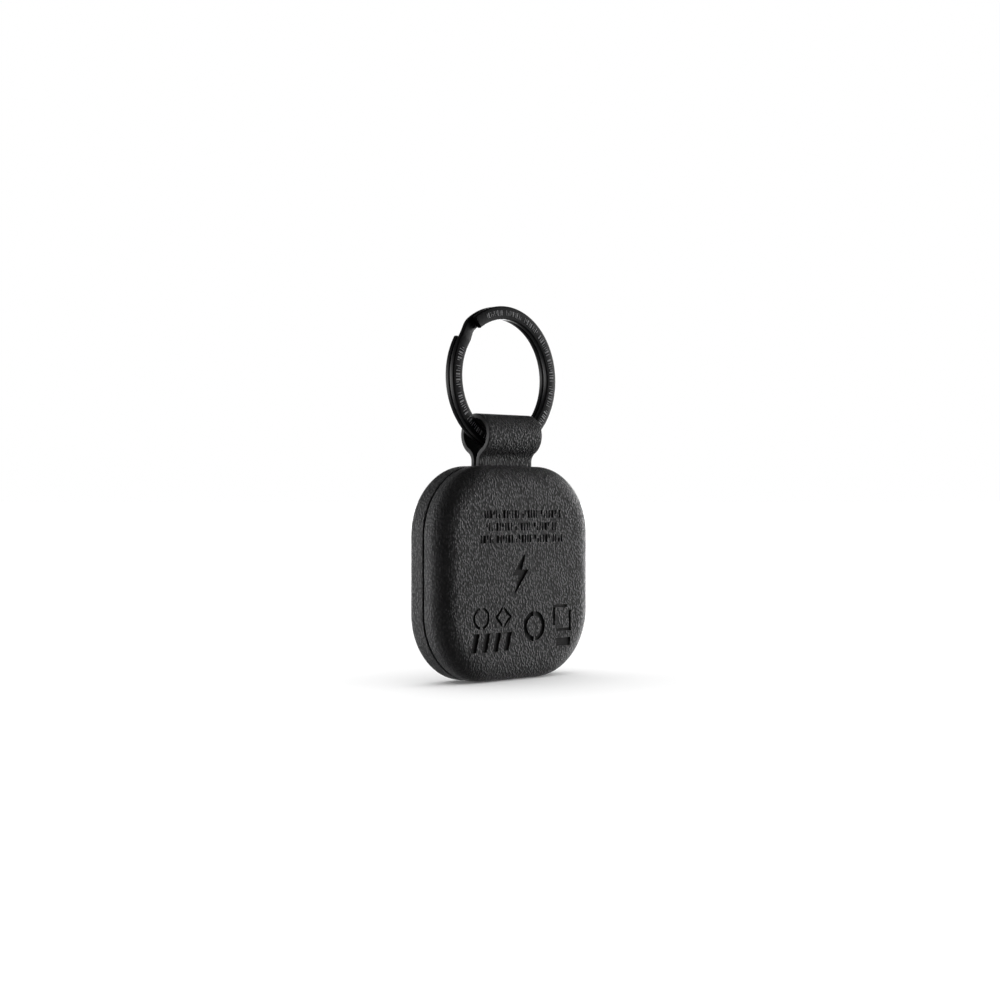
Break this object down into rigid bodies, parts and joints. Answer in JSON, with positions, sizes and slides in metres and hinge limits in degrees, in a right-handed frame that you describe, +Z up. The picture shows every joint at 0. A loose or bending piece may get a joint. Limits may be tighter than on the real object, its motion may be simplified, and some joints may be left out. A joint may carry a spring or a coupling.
{
  "type": "bluetooth tracker tag",
  "caption": "Rounded-square leather-covered bluetooth tracker tag with a folded strap loop and a split ring, rechargeable through its rear face.",
  "frame": {"origin": "middle of the housing's bottom edge, on the surface that it stands on", "axes": "+Z up towards the split ring, -Y out of the rear charging face, +Y out of the front button face"},
  "size_m": [0.037, 0.009, 0.0649],
  "materials": {
    "black_leather": "pebble grain, matt",
    "strap_leather": "pebble grain, matt, cut edges plain",
    "black_plastic": "fine matt moulding",
    "grey_plastic": "moulded",
    "black_silicone": "matt",
    "black_steel": "black plating, satin",
    "screw_steel": "bright",
    "clamp_steel": "stamped",
    "copper": "enamelled copper wire",
    "ferrite": "matt",
    "cell_foil": "foil pouch",
    "board_green": "solder mask over glass laminate",
    "foam": "closed-cell foam",
    "red_insulation": "wire insulation",
    "black_insulation": "wire insulation",
    "can_steel": "tinned",
    "chip_black": "moulded",
    "antenna_ceramic": "matt",
    "capacitor_ceramic": "matt",
    "led_resin": "clear resin",
    "clear_plastic": "clear",
    "brass_plate": "rolled",
    "piezo_white": "matt"
  },
  "bodies": {
    "housing": {"rear_skin": "black_leather", "front_skin": "black_leather", "rear_shell": "black_plastic", "front_shell": "black_plastic", "seam_gasket": "black_silicone", "assembly_screw_1": "screw_steel", "assembly_screw_2": "screw_steel", "assembly_screw_3": "screw_steel", "assembly_screw_4": "screw_steel", "mid_frame": "grey_plastic", "charging_coil": "copper", "ferrite_sheet": "ferrite", "coil_lead_a": "copper", "coil_lead_b": "copper", "battery_cell": "cell_foil", "battery_protection_board": "board_green", "battery_foam_pad": "foam", "battery_lead_plus": "red_insulation", "battery_lead_minus": "black_insulation", "main_board": "board_green", "shield_can": "can_steel", "radio_chip": "chip_black", "crystal": "can_steel", "charger_chip": "chip_black", "chip_antenna": "antenna_ceramic", "capacitor_1": "capacitor_ceramic", "capacitor_2": "capacitor_ceramic", "capacitor_3": "capacitor_ceramic", "capacitor_4": "capacitor_ceramic", "status_led": "led_resin", "light_pipe": "clear_plastic", "piezo_plate": "brass_plate", "piezo_ceramic": "piezo_white", "piezo_lead_plate": "red_insulation", "piezo_lead_ceramic": "black_insulation", "switch_body": "grey_plastic", "button_seal": "black_silicone", "strap_tail_rear": "strap_leather", "strap_tail_front": "strap_leather", "strap_clamp_rear": "clamp_steel", "strap_clamp_front": "clamp_steel", "strap_screw_1": "screw_steel", "strap_screw_2": "screw_steel"},
    "strap": {"strap_loop": "strap_leather"},
    "ring": {"split_ring": "black_steel"},
    "button": {"button_cap": "black_plastic", "button_skin": "black_leather", "switch_plunger": "led_resin"}
  },
  "joints": [
    {"name": "strap_flex", "type": "hinge", "parent": "housing", "child": "strap", "pos_m": [0, 0, 0.0374], "axis": [1, 0, 0], "range_deg": [-30, 30], "stiffness_Nm_per_rad": 0.011},
    {"name": "ring_swing", "type": "hinge", "parent": "strap", "child": "ring", "pos_m": [0, 0, 0.0424], "axis": [1, 0, 0], "range_deg": [-110, 110]},
    {"name": "button_press", "type": "slide", "parent": "housing", "child": "button", "axis": [0, -1, 0], "range_m": [0, 0.0003], "stiffness_N_per_m": 1500}
  ]
}
